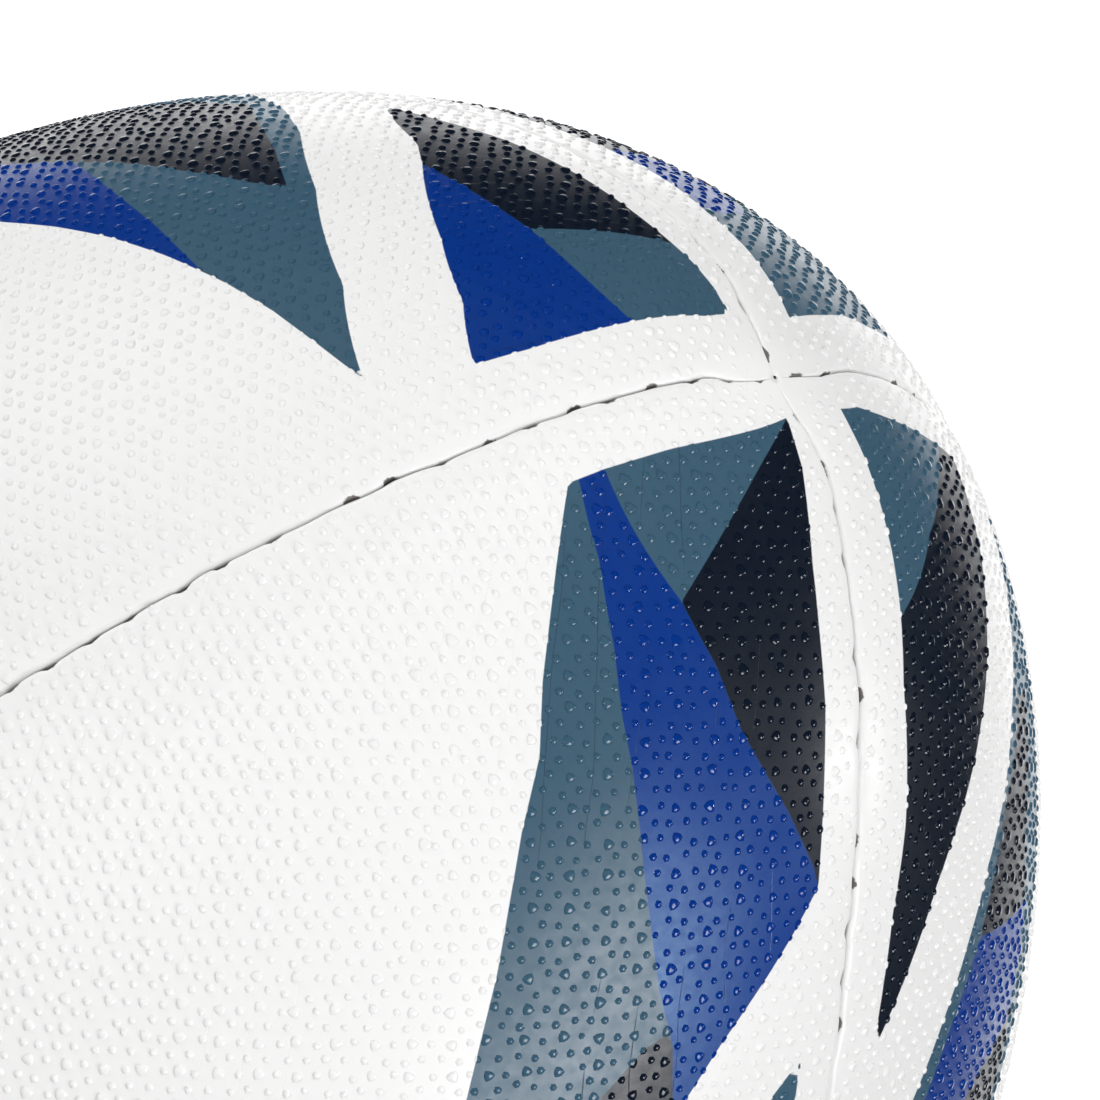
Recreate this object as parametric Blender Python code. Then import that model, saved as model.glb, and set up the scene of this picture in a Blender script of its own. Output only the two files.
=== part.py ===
"""A four-panel rugby ball: pimpled cover panels, fabric plies, seam threads, bladder and valve.

The ball's centre is at the origin, +X runs along its long axis and +Z goes up through the
middle of a cover panel, with the ball lying on its side. Lengths here are in millimetres,
and the meshes are written in metres.
"""

import math

import bmesh
import bpy

MM = 0.001

# Whole ball
LENGTH = 290.0
DIAMETER = 190.0
PROFILE_POWER = 1.75  # 2 gives an ellipse, and less gives pointed ends

# Four gores, each named for where its middle points, in degrees from +Y towards +Z
PANELS = {"left": 0.0, "top": 90.0, "right": 180.0, "bottom": 270.0}
HALF_PANEL = 45.0
SEGMENTS = 8
STATIONS = 15
GRID_REACH = 38.8  # degrees: a gore's own edge has to lie beyond this, or its grid is squeezed

# Cover skins, whose edges fold inwards along each seam
SKIN_THICKNESS = 1.2
SKIN_TIP_RADII = (1.0, 5.0)
SEAM_GAP = 0.2
EDGE_ROUNDING = 0.8
FLANGE_DEPTH = 7.0
FLANGE_FULL_RADIUS = 14.0
FLANGE_LEAST = 0.4
POCKET_TOP = 2.0
POCKET_BOTTOM = 3.6
POCKET_GAP = 0.9

# Fabric plies under each skin
PLIES = 3
PLY_THICKNESS = 0.5
LAYER_GAP = 0.3
PLY_TIP_RADIUS = 12.0
PLY_FLANGE_STEP = 0.4

# Seam threads
THREAD_RADIUS = 0.45
THREAD_DEPTH = 2.8
THREAD_SIDES = 6

# Bladder, dented where the folded seams press on it
BLADDER_DEPTH = 4.7
BLADDER_THICKNESS = 1.0
BLADDER_FULL_RADIUS = 34.0
GROOVE_DEPTH = 7.8
GROOVE_FLOOR = 4.6
GROOVE_SHOULDER = 7.0

# Valve, pointing out through the middle of one panel
VALVE_PANEL = "right"
VALVE_SIDES = 24
HOLE_RADIUS = 5.1
HOLE_BOTTOM = 6.6
PATCH_DEPTH = 3.9
PATCH_THICKNESS = 0.5
PATCH_RADIUS = 20.0
SEAT_DEPTH = 6.0
SEAT_THICKNESS = 1.0
SEAT_RADIUS = 14.0
SEAT_SLOPE = 0.125  # mm down per mm out, so that it clears the bladder's facets
NECK_TOP = 0.4
NECK_RADIUS = 4.7
STEM_RADIUS = 5.2
STEM_BOTTOM = 29.0
BORE_RADIUS = 2.6
BORE_COLLAR_RADIUS = 3.7
BORE_COLLAR = (10.0, 12.4)
PLUG_TOP = 1.4
PLUG_BOTTOM = 24.0
PLUG_RADIUS = 2.3
PLUG_COLLAR_RADIUS = 3.4
PLUG_COLLAR = (10.3, 12.1)
NEEDLE_RADIUS = 0.8
OVERSHOOT = 3.0

LOOKS = {
    "skin_rubber": ((0.90, 0.90, 0.89), 0.45),
    "ply_fabric": ((0.72, 0.68, 0.58), 0.90),
    "seam_thread": ((0.80, 0.79, 0.74), 0.70),
    "bladder_rubber": ((0.05, 0.05, 0.055), 0.50),
    "boot_rubber": ((0.09, 0.09, 0.10), 0.50),
    "patch_fabric": ((0.30, 0.28, 0.25), 0.80),
    "plug_rubber": ((0.62, 0.16, 0.10), 0.50),
}


def clear_scene():
    for obj in list(bpy.data.objects):
        bpy.data.objects.remove(obj)


def material(look):
    found = bpy.data.materials.get(look)
    if found:
        return found
    colour, roughness = LOOKS[look]
    made = bpy.data.materials.new(look)
    made.use_nodes = True
    shader = made.node_tree.nodes["Principled BSDF"]
    shader.inputs["Base Color"].default_value = (*colour, 1.0)
    shader.inputs["Roughness"].default_value = roughness
    shader.inputs["Metallic"].default_value = 0.0
    return made


def make_object(name, points, faces, look, hollow_faces=()):
    """A mesh object whose faces point out of its solid, and so into any hollow it holds."""
    mesh = bpy.data.meshes.new(name)
    mesh.from_pydata([[MM * c for c in point] for point in points], [], [*faces, *hollow_faces])
    shape = bmesh.new()
    shape.from_mesh(mesh)
    bmesh.ops.recalc_face_normals(shape, faces=shape.faces)
    bmesh.ops.reverse_faces(shape, faces=list(shape.faces)[len(faces) :])
    shape.to_mesh(mesh)
    shape.free()
    mesh.shade_smooth()
    mesh.materials.append(material(look))
    obj = bpy.data.objects.new(name, mesh)
    bpy.context.scene.collection.objects.link(obj)
    return obj


def make_cutter(name, points, faces):
    cutter = make_object(name, points, faces, "boot_rubber")
    cutter.hide_render = True
    cutter.display_type = "WIRE"
    return cutter


def boolean(obj, operation, other):
    modifier = obj.modifiers.new(other.name, "BOOLEAN")
    modifier.operation = operation
    modifier.solver = "EXACT"
    modifier.object = other


# The meridian: the ball's outer profile and the points under it


def outline(t):
    """A point of the outer profile and its outward normal, as (x, r, nx, nr), for t from 0 to pi."""
    power = 2 / PROFILE_POWER
    x = LENGTH / 2 * math.cos(t)
    r = DIAMETER / 2 * math.sin(t) ** power
    dx = -LENGTH / 2 * math.sin(t)
    dr = DIAMETER / 2 * power * math.sin(t) ** (power - 1) * math.cos(t)
    length = math.hypot(dx, dr)
    return x, r, dr / length, -dx / length


def under(t, depth):
    """The point this far below the outer profile, as (x, r)."""
    x, r, nx, nr = outline(t)
    return x - depth * nx, r - depth * nr


def parameter_at(radius):
    """The t, towards +X, where the outer profile has this radius."""
    return math.asin((2 * radius / DIAMETER) ** (PROFILE_POWER / 2))


def shared_stations():
    """Values of t that every layer uses, so that nested layers have parallel facets."""
    first = parameter_at(PLY_TIP_RADIUS)
    step = (math.pi - 2 * first) / (STATIONS - 1)
    return [first + i * step for i in range(STATIONS)]


def skin_stations():
    tips = [parameter_at(radius) for radius in SKIN_TIP_RADII]
    return [*tips, *shared_stations(), *(math.pi - t for t in reversed(tips))]


def position(x, r, degrees):
    angle = math.radians(degrees)
    return x, r * math.cos(angle), r * math.sin(angle)


def edge_angle(distance, r):
    """Degrees from a gore's middle to a point this distance from its seam's plane."""
    return HALF_PANEL - math.degrees(math.asin(distance / r))


def grid_angles(limit):
    """The angles between a gore's edges, squeezed where its edge lies inside the full grid."""
    squeeze = min(1.0, limit / GRID_REACH)
    step = 2 * HALF_PANEL / SEGMENTS
    return [squeeze * (i * step - HALF_PANEL) for i in range(1, SEGMENTS)]


# Solids through rings of points


def tube_faces(rings, start=0):
    """The side faces between rings of equally many points."""
    count = len(rings[0])
    faces = []
    for row in range(len(rings) - 1):
        near = start + row * count
        far = near + count
        for i in range(count):
            after = (i + 1) % count
            faces.append((near + i, near + after, far + after, far + i))
    return faces


def flattened(rings):
    return [point for ring in rings for point in ring]


def prism(rings):
    """Points and faces of a solid through these rings, with a flat face over each end."""
    count = len(rings[0])
    last = (len(rings) - 1) * count
    ends = [tuple(range(count)), tuple(last + i for i in range(count))]
    return flattened(rings), tube_faces(rings) + ends


# Cover skins and plies


def flange_end(t, top, thickness):
    """The depth a folded edge reaches: full along the ball, and almost none at the tips."""
    least = top + thickness + FLANGE_LEAST
    full = FLANGE_DEPTH - PLY_FLANGE_STEP * (top > 0) - top / 4
    reach = min(1.0, outline(t)[1] / FLANGE_FULL_RADIUS)
    return least + (full - least) * reach**2


def edge_profile(t, top, thickness, gap, with_pocket):
    """One edge of a gore's section, from outside to inside, as (depth, distance from seam plane)."""
    room = outline(t)[1] * math.sin(math.radians(HALF_PANEL)) - gap
    end = flange_end(t, top, thickness)
    inside = gap + min(thickness, 0.45 * room)
    profile = [(top, gap)]
    if with_pocket:
        rounding = min(EDGE_ROUNDING, 0.3 * room)
        pocket_gap = POCKET_GAP if end > POCKET_BOTTOM + 1.0 else gap
        low = min(POCKET_TOP, end / 2)
        high = min(POCKET_BOTTOM, 0.85 * end)
        profile = [(top, gap + rounding), (top + rounding / 2, gap)]
        profile += [(low, pocket_gap), (high, pocket_gap)]
    return [*profile, (end, gap), (end, inside), (top + thickness, inside)]


def gore_section(t, middle, profile):
    """The closed ring of a gore's section: outside, one edge, inside, the other edge."""
    side = []
    for depth, distance in profile:
        x, r = under(t, depth)
        side.append((x, r, edge_angle(distance, r)))
    outer_x, outer_r, outer_angle = side[0]
    inner_x, inner_r, inner_angle = side[-1]
    outside = [position(outer_x, outer_r, middle + a) for a in grid_angles(outer_angle)]
    inside = [position(inner_x, inner_r, middle + a) for a in grid_angles(inner_angle)]
    falling = [position(x, r, middle + a) for x, r, a in side]
    rising = [position(x, r, middle - a) for x, r, a in reversed(side)]
    return outside + falling + inside[::-1] + rising


def gore_end(edge_count):
    """Faces that cover one end of a gore: a strip of quads between its edges, and each edge."""
    across = SEGMENTS - 1
    outside = list(range(across))
    falling = list(range(across, across + edge_count))
    inside = list(range(across + edge_count, 2 * across + edge_count))[::-1]
    rising = list(range(2 * across + edge_count, 2 * across + 2 * edge_count))
    top = [rising[-1], *outside, falling[0]]
    bottom = [rising[0], *inside, falling[-1]]
    strip = [(top[i], top[i + 1], bottom[i + 1], bottom[i]) for i in range(across + 1)]
    return [*strip, tuple(falling), tuple(rising)]


def make_gore(name, stations, middle, top, thickness, gap, with_pocket, look):
    rings = []
    for t in stations:
        profile = edge_profile(t, top, thickness, gap, with_pocket)
        rings.append(gore_section(t, middle, profile))
    near = gore_end(len(profile))
    last = (len(rings) - 1) * len(rings[0])
    far = [tuple(last + i for i in face) for face in near]
    return make_object(name, flattened(rings), tube_faces(rings) + near + far, look)


def make_panel(side, middle):
    """A panel's skin and the plies laid up behind it."""
    layers = [
        make_gore(
            f"skin_{side}", skin_stations(), middle,
            0.0, SKIN_THICKNESS, SEAM_GAP, True, "skin_rubber",
        )
    ]
    for k in range(PLIES):
        behind = SKIN_THICKNESS + LAYER_GAP + k * (PLY_THICKNESS + LAYER_GAP)
        layers.append(
            make_gore(
                f"ply_{k + 1}_{side}", shared_stations(), middle,
                behind, PLY_THICKNESS, SEAM_GAP + behind, False, "ply_fabric",
            )
        )
    return layers


# Seam threads


def thread_ring(t, degrees):
    """A ring round the thread, in the plane of the profile's normal."""
    nx, nr = outline(t)[2:]
    centre = position(*under(t, THREAD_DEPTH), degrees)
    outwards = position(nx, nr, degrees)
    across = position(0.0, 1.0, degrees + 90.0)
    ring = []
    for i in range(THREAD_SIDES):
        turn = 2 * math.pi * i / THREAD_SIDES
        u = THREAD_RADIUS * math.cos(turn)
        v = THREAD_RADIUS * math.sin(turn)
        ring.append([c + u * o + v * a for c, o, a in zip(centre, outwards, across)])
    return ring


def make_threads():
    """One thread along each seam, between the folded edges of two skins."""
    sides = list(PANELS)
    for side, other in zip(sides, sides[1:] + sides[:1]):
        seam = PANELS[side] + HALF_PANEL
        rings = [thread_ring(t, seam) for t in shared_stations()]
        make_object(f"thread_{side}_{other}", *prism(rings), "seam_thread")


# Bladder


def bladder_ring(t, extra):
    """One ring of the bladder's wall: full between the seams, and dented along each one."""
    fullness = min(1.0, outline(t)[1] / BLADDER_FULL_RADIUS)
    full_depth = GROOVE_DEPTH - (GROOVE_DEPTH - BLADDER_DEPTH) * fullness**2
    x, r = under(t, full_depth + extra)
    floor_x, floor_r = under(t, GROOVE_DEPTH + extra)
    shoulder = edge_angle(min(GROOVE_SHOULDER, 0.55 * r), r)
    floor = edge_angle(min(GROOVE_FLOOR, 0.35 * floor_r), floor_r)
    ring = []
    for middle in PANELS.values():
        ring.append(position(floor_x, floor_r, middle - floor))
        ring.append(position(x, r, middle - shoulder))
        ring += [position(x, r, middle + a) for a in grid_angles(shoulder)]
        ring.append(position(x, r, middle + shoulder))
        ring.append(position(floor_x, floor_r, middle + floor))
    return ring


def bladder_wall(extra, start):
    """Points and faces of one closed side of the bladder's wall, numbered from start."""
    rings = [bladder_ring(t, extra) for t in shared_stations()]
    count = len(rings[0])
    last = start + (len(rings) - 1) * count
    faces = tube_faces(rings, start)
    hub = start + len(rings) * count
    for base in (start, last):
        faces += [(hub, base + i, base + (i + 1) % count) for i in range(count)]
        hub += 1
    hubs = [(ring[0][0], 0.0, 0.0) for ring in (rings[0], rings[-1])]
    return flattened(rings) + hubs, faces


def make_bladder():
    """A hollow shell, which the valve's hole opens."""
    outside, outer_faces = bladder_wall(0.0, 0)
    inside, inner_faces = bladder_wall(BLADDER_THICKNESS, len(outside))
    return make_object(
        "bladder", outside + inside, outer_faces, "bladder_rubber", inner_faces
    )


# Valve


def valve_point(along, across, depth):
    """A point near the valve: along the ball, across it, and below the cover's surface."""
    degrees = PANELS[VALVE_PANEL]
    outwards = position(0.0, DIAMETER / 2 - depth, degrees)
    sideways = position(0.0, across, degrees + 90.0)
    return along, outwards[1] + sideways[1], outwards[2] + sideways[2]


def valve_ring(radius, depth):
    turns = [2 * math.pi * (i + 0.5) / VALVE_SIDES for i in range(VALVE_SIDES)]
    return [valve_point(radius * math.cos(a), radius * math.sin(a), depth) for a in turns]


def valve_prism(steps):
    """A round solid on the valve's axis, through (radius, depth) steps."""
    return prism([valve_ring(radius, depth) for radius, depth in steps])


def valve_tube(steps):
    """A round solid with a hole along it, from a closed loop of (radius, depth) steps."""
    rings = [valve_ring(radius, depth) for radius, depth in steps]
    return flattened(rings), tube_faces([*rings, rings[0]])


def close_loop(points, faces):
    """Point the faces that reach past the last ring back at the first one."""
    total = len(points)
    return points, [tuple(i % total for i in face) for face in faces]


def layer_block(depth, thickness, reach):
    """A block of layer round the valve, on the same grid as the plies."""
    middle_row = STATIONS // 2
    rows = shared_stations()[middle_row - reach : middle_row + reach + 1]
    angles = grid_angles(HALF_PANEL)
    centre = len(angles) // 2
    columns = angles[centre - reach : centre + reach + 1]
    rings = []
    for t in rows:
        outer = [position(*under(t, depth), PANELS[VALVE_PANEL] + a) for a in columns]
        inner = [position(*under(t, depth + thickness), PANELS[VALVE_PANEL] + a) for a in columns]
        rings.append(outer + inner[::-1])
    count = len(columns)
    near = [(i, i + 1, 2 * count - 2 - i, 2 * count - 1 - i) for i in range(count - 1)]
    last = (len(rings) - 1) * 2 * count
    far = [tuple(last + i for i in face) for face in near]
    return flattened(rings), tube_faces(rings) + near + far


def make_patch(hole):
    """The reinforcement ring between the plies and the bladder."""
    patch = make_object(
        "valve_patch", *layer_block(PATCH_DEPTH, PATCH_THICKNESS, 2), "patch_fabric"
    )
    steps = [(PATCH_RADIUS, -OVERSHOOT), (PATCH_RADIUS, PATCH_DEPTH + 2 * OVERSHOOT)]
    boolean(patch, "INTERSECT", make_cutter("patch_outline", *valve_prism(steps)))
    boolean(patch, "DIFFERENCE", hole)


def make_boot():
    """The moulded boot: a domed seat inside the bladder, a neck through its hole, and a stem."""
    low, high = BORE_COLLAR
    seat_top = SEAT_DEPTH + SEAT_SLOPE * NECK_RADIUS
    rim_top = SEAT_DEPTH + SEAT_SLOPE * SEAT_RADIUS
    seat_bottom = rim_top + SEAT_THICKNESS
    steps = [
        (BORE_RADIUS, NECK_TOP), (NECK_RADIUS, NECK_TOP), (NECK_RADIUS, seat_top),
        (SEAT_RADIUS, rim_top), (SEAT_RADIUS, seat_bottom), (STEM_RADIUS, seat_bottom),
        (STEM_RADIUS, STEM_BOTTOM - 1.0), (STEM_RADIUS - 1.0, STEM_BOTTOM),
        (BORE_RADIUS, STEM_BOTTOM), (BORE_RADIUS, high), (BORE_COLLAR_RADIUS, high),
        (BORE_COLLAR_RADIUS, low), (BORE_RADIUS, low),
    ]
    make_object("valve_boot", *close_loop(*valve_tube(steps)), "boot_rubber")


def make_plug():
    """The valve's rubber core, held by its collar, with the needle's channel through it."""
    low, high = PLUG_COLLAR
    steps = [
        (NEEDLE_RADIUS, PLUG_TOP), (PLUG_RADIUS, PLUG_TOP), (PLUG_RADIUS, low),
        (PLUG_COLLAR_RADIUS, low), (PLUG_COLLAR_RADIUS, high), (PLUG_RADIUS, high),
        (PLUG_RADIUS, PLUG_BOTTOM), (NEEDLE_RADIUS, PLUG_BOTTOM),
    ]
    make_object("valve_plug", *close_loop(*valve_tube(steps)), "plug_rubber")


def main():
    clear_scene()
    layers = {side: make_panel(side, middle) for side, middle in PANELS.items()}
    make_threads()
    bladder = make_bladder()
    steps = [(HOLE_RADIUS, -OVERSHOOT), (HOLE_RADIUS, HOLE_BOTTOM)]
    hole = make_cutter("valve_hole", *valve_prism(steps))
    for layer in [*layers[VALVE_PANEL], bladder]:
        boolean(layer, "DIFFERENCE", hole)
    make_patch(hole)
    make_boot()
    make_plug()


main()
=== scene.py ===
import math

import bpy
import numpy as np
from mathutils import Matrix, Vector


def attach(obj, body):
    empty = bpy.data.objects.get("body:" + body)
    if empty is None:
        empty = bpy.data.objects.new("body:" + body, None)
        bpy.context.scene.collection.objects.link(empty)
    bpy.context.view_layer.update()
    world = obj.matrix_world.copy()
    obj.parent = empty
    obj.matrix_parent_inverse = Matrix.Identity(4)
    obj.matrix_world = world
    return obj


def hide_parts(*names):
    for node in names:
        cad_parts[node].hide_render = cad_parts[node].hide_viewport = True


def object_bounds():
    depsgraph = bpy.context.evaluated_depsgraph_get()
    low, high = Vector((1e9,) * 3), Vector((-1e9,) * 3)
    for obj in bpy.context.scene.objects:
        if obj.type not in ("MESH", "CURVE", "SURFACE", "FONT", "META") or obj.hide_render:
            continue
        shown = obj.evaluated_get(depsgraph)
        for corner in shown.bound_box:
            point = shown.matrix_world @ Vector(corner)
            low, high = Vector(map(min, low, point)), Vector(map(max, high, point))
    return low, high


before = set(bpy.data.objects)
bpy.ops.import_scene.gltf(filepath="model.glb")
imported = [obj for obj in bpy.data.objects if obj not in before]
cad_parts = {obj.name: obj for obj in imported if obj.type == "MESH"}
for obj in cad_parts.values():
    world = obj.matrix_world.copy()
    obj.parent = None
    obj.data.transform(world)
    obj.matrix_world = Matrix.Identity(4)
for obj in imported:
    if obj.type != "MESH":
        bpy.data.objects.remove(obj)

# Lengths are in millimetres until a mesh is written. A panel's own flat coordinates are s, the
# distance along the ball from its +X tip, and w, the distance across from the panel's middle.

MM = 0.001
CAD_LOW, CAD_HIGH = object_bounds()
HALF_LENGTH = CAD_HIGH.x / MM
RADIUS = CAD_HIGH.z / MM
PROFILE_POWER = 1.75

# Panels and seams, in degrees from +Y towards +Z
PANELS = {"left": 0.0, "top": 90.0, "right": 180.0, "bottom": 270.0}
SEAMS = {"left_top": 45.0, "top_right": 135.0, "right_bottom": 225.0, "bottom_left": 315.0}
BELOW = {"left": "bottom_left", "top": "left_top", "right": "top_right", "bottom": "right_bottom"}
ABOVE = {"left": "left_top", "top": "top_right", "right": "right_bottom", "bottom": "bottom_left"}

FIRST_SEAM_SEED = 11
FIRST_PANEL_SEED = 101

# Hand sewing: the seams stray from the straight lines, and the +X junction sits off the axis
SEAM_DRIFT = {
    "left_top": ((0, 0.0), (9, 0.0), (14, -0.4), (24, -1.2), (50, -1.2), (100, -0.6), (160, 0.0)),
    "top_right": ((0, 0.7), (45, 0.8), (70, 1.3), (95, 2.0), (150, 2.6), (210, 1.0), (270, 0.0)),
    "right_bottom": ((0, 0.0), (55, 0.1), (68, 0.7), (80, 1.7), (110, 2.2), (170, 1.0), (240, 0.0)),
    "bottom_left": ((0, -1.0), (20, -1.0), (60, -0.5), (120, 0.0)),
}
TIP_SLIDE = (-4.2, 0.35)
TIP_SLIDE_REACH = 8.0
SEAM_STEP = 0.2
SEAM_WOBBLE = 0.055
WOBBLE_LENGTHS = (7.0, 11.0, 19.0, 43.0)
PHASES = (0.0, 6.28)
LEAST_SEAM_RADIUS = 6.0

# Stitches: how they are spaced, how hard they pull, and which of them leave the seam open
STITCH_PITCH = 4.8
STITCH_SCATTER = 0.45
PULLS = (0.35, 1.0)
PULL_REACH = 1.3
OPEN_SHARE = 0.75
OPEN_WIDTHS = (0.10, 0.30)
OPEN_ABOVE_SHARE = 0.75
OPEN_REACH = 0.6
OPEN_STRAY = 0.6
OPEN_STRAY_REACH = 0.8
STEP_HEIGHT = 0.07
STEP_LENGTH = 31.0

# A cover panel's section
THICKNESS = 1.2
ROLL_RADIUS = 0.65
INNER_ROLL_RADIUS = 0.12 * ROLL_RADIUS
SEAM_GAP = 0.035
FLANGE_DEPTH = 7.0
FLANGE_GAP = 0.10
FLANGE_FOLLOW = 0.8
POCKET_GAP = 0.5
POCKET_DEPTHS = (1.9, 2.2, 3.4, 3.8)
FOLD_DEPTH = THICKNESS + 0.01
LEAST_FOLD_SHARE = 0.3
GROUND_DROP = 0.15
VALLEY_DEPTH = 0.10
VALLEY_REACH = 2.4
DIP_DEPTH = 0.09
DIP_REACH = 1.9
ROWS = 521
FIELD_COLUMNS = 60
EDGE_STEPS = (0.6, 1.3, 2.1, 3.1, 4.4)
ROLL_STEPS = 5
FULL_EDGE_WIDTH = 7.0
TIP_START = 0.2

# The valve hole
VALVE_PANEL = "right"
HOLE_RADIUS = 5.1
HOLE_SQUARE = 4.6
HOLE_REACH = 16.0

# Pimples
PITCH = 1.9
PIMPLE_HEIGHT = 0.22
SMALL_RADIUS = 0.43
LARGE_RADIUS = 0.57
JITTER = 0.18
WIDTH_SCATTER = 0.06
HEIGHT_SCATTER = 0.08
TURN_SCATTER = 0.12
TURNED_SHARE = 0.2
SHEET_TURN = {"left": 21.0, "top": 8.0, "right": 34.0, "bottom": 47.0}
SEAM_MARGIN = 0.80
TIP_MARGIN = 1.8
VALVE_MARGIN = 7.6
LOW_AT_SEAM = 0.8
LOW_REACH = (0.5, 2.5)
INK_REACH = 1.4 * LARGE_RADIUS

# A pimple's rings are (radius, height), and its lobes make it three-sided
PIMPLE_SHAPES = {
    False: {"sides": 6, "lobes": 0.05, "rings": ((1.14, -0.30), (0.82, 0.48), (0.45, 0.90)), "top": 1.06},
    True: {"sides": 9, "lobes": 0.15, "rings": ((1.10, -0.30), (0.88, 0.48), (0.62, 0.88)), "top": 0.90},
}

# The flat sheet that a panel is cut from, and how its pattern is found on the curved panel
SHEET_REACH = 0.62
SHEET_HALF_WIDTH = 90.0
SHEET_MARGIN = 20.0
SEARCH_ROUNDS = 12
SEARCH_STEP = 0.01
SEARCH_END = 1.0
LEAST_STRETCH = 0.2
LARGEST_MISS = 0.3

# Threads
THREAD_START = 7.0
THREAD_STEP = 0.45
THREAD_DEPTH = 2.8
THREAD_RISE = 0.6
THREAD_SWAY = 0.18
THREAD_REACH = 0.9
THREAD_RADIUS = 0.33
THREAD_LOBES = 0.07
THREAD_TWIST = 1.8
THREAD_SIDES = 10

# Hairline creases in the print, and the painted shade that darkens them
CREASE_PITCH = 4.2
CREASE_TURN = math.radians(27.0)
CREASE_SWAY = 1.5
CREASE_WIDTH = 0.06
CREASE_SHADE_DARKNESS = 0.6
CREASE_SHADE_COLOUR = (0.02, 0.02, 0.022)

# Painted shade in the seams: dark where a stitch leaves the seam open, standing in for the shadow in the gap
GAP_SHADE_FULL = 0.09
GAP_SHADE_NEAR = 0.06
GAP_SHADE_FAR = 0.58
GAP_SHADE_LEAST = 0.3
GAP_SHADE_DARKNESS = 0.9
GAP_SHADE_COLOUR = (0.065, 0.052, 0.042)

INKS = {
    "white": (0.875, 0.872, 0.868),
    "grey": (0.043, 0.104, 0.160),
    "blue": (0.001, 0.032, 0.232),
    "black": (0.0050, 0.0095, 0.0200),
}
BLUE_SHEEN = (0.60, 0.88, 1.0)
BLUE_GLOSS = 0.12
INK_EDGE = 0.06
INK_FARTHEST = 9.0


# Profile tables

SAMPLES = 8001
LEAST_BEND_RADIUS = 0.2
_turn = np.linspace(0.0, math.pi, SAMPLES)
_power = 2.0 / PROFILE_POWER
_sine = np.sin(_turn).clip(0.0)
TABLE_X = HALF_LENGTH * np.cos(_turn)
TABLE_R = RADIUS * _sine**_power
TABLE_S = np.concatenate([[0.0], np.cumsum(np.hypot(np.diff(TABLE_X), np.diff(TABLE_R)))])
ARC = TABLE_S[-1]
_dx = np.gradient(TABLE_X, TABLE_S)
_dr = np.gradient(TABLE_R, TABLE_S)
TABLE_NX = _dr / np.hypot(_dx, _dr)
TABLE_NR = -_dx / np.hypot(_dx, _dr)
TABLE_BEND = _dr / TABLE_R.clip(LEAST_BEND_RADIUS)


def profile(s, table):
    return np.interp(s, TABLE_S, table)


def slid(s, theta):
    """Where a point of the straight pattern lies once the +X junction has slid off the axis."""
    pull = np.exp(-((s / TIP_SLIDE_REACH) ** 2))
    y = s * np.cos(theta) + TIP_SLIDE[0] * pull
    z = s * np.sin(theta) + TIP_SLIDE[1] * pull
    return np.hypot(y, z), np.arctan2(z, y)


def surface(s, theta, height):
    """Points, in millimetres, at a height over the ball's outer surface."""
    s, theta = slid(s, theta)
    x = profile(s, TABLE_X) + height * profile(s, TABLE_NX)
    r = profile(s, TABLE_R) + height * profile(s, TABLE_NR)
    return np.stack([x, r * np.cos(theta), r * np.sin(theta)], axis=-1)


def smooth(a, b, value):
    """0 up to a, 1 from b on, and a smooth rise between them."""
    t = np.clip((value - a) / (b - a), 0.0, 1.0)
    return t * t * (3.0 - 2.0 * t)


# Seams

SEAM_S = np.arange(0.0, ARC + SEAM_STEP, SEAM_STEP)


def sum_of(centres, heights, reach):
    total = np.zeros_like(SEAM_S)
    for centre, height in zip(centres, heights):
        total += height * np.exp(-(((SEAM_S - centre) / reach) ** 2))
    return total


def make_seam(name, seed):
    """Where a seam runs, how far it gapes on each side, and how deep its stitches pull."""
    rng = np.random.default_rng(seed)
    count = int(ARC / STITCH_PITCH)
    centres = (np.arange(count) + 0.5) * STITCH_PITCH + rng.normal(0.0, STITCH_SCATTER, count)
    pulls = rng.uniform(*PULLS, count)
    opens = np.where(rng.random(count) < OPEN_SHARE, rng.uniform(*OPEN_WIDTHS, count), 0.0)
    sides = np.where(rng.random(count) < OPEN_ABOVE_SHARE, 1.0, -1.0)
    wobble = np.zeros_like(SEAM_S)
    for length in WOBBLE_LENGTHS:
        wobble += SEAM_WOBBLE * np.sin(2 * math.pi * SEAM_S / length + rng.uniform(*PHASES))
    wobble += OPEN_STRAY * sum_of(centres, opens * sides, OPEN_STRAY_REACH)
    drift = np.interp(SEAM_S, *zip(*SEAM_DRIFT[name]))
    radius = profile(SEAM_S, TABLE_R).clip(LEAST_SEAM_RADIUS)
    return {
        "angle": math.radians(SEAMS[name]) + (drift + wobble) / radius,
        "gap_above": SEAM_GAP + sum_of(centres, opens * (sides > 0), OPEN_REACH),
        "gap_below": SEAM_GAP + sum_of(centres, opens * (sides < 0), OPEN_REACH),
        "dip": sum_of(centres, pulls, PULL_REACH),
        "lift": STEP_HEIGHT * np.sin(2 * math.pi * SEAM_S / STEP_LENGTH + rng.uniform(*PHASES)),
        "sides": sides,
        "centres": centres,
    }


SEAM_LINES = {name: make_seam(name, seed) for seed, name in enumerate(SEAMS, start=FIRST_SEAM_SEED)}


def along(seam, key, s):
    return np.interp(s, SEAM_S, SEAM_LINES[seam][key])


def panel_edges(panel, s):
    """The angles of a panel's two seams at s, both within half a turn of its middle."""
    middle = math.radians(PANELS[panel])
    edges = [along(seam[panel], "angle", s) for seam in (BELOW, ABOVE)]
    return [middle + (edge - middle + math.pi) % (2 * math.pi) - math.pi for edge in edges]


def seam_relief(panel, s, e_below, e_above):
    """How the surface falls into its two seams and puckers at their stitches."""
    height = np.full_like(s, -GROUND_DROP)
    for seam, e, lift in ((BELOW[panel], e_below, 1.0), (ABOVE[panel], e_above, -1.0)):
        valley = np.exp(-((e / VALLEY_REACH) ** 2))
        near = np.exp(-((e / DIP_REACH) ** 2))
        height -= VALLEY_DEPTH * valley + DIP_DEPTH * along(seam, "dip", s) * near
        height += lift * along(seam, "lift", s) * near
    return height


# Printed shapes, in a panel's own (s, w). A block is an area of print: grey, with blue and black
# on it. Blue and black are drawn past the block's edge, which trims them.

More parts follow.
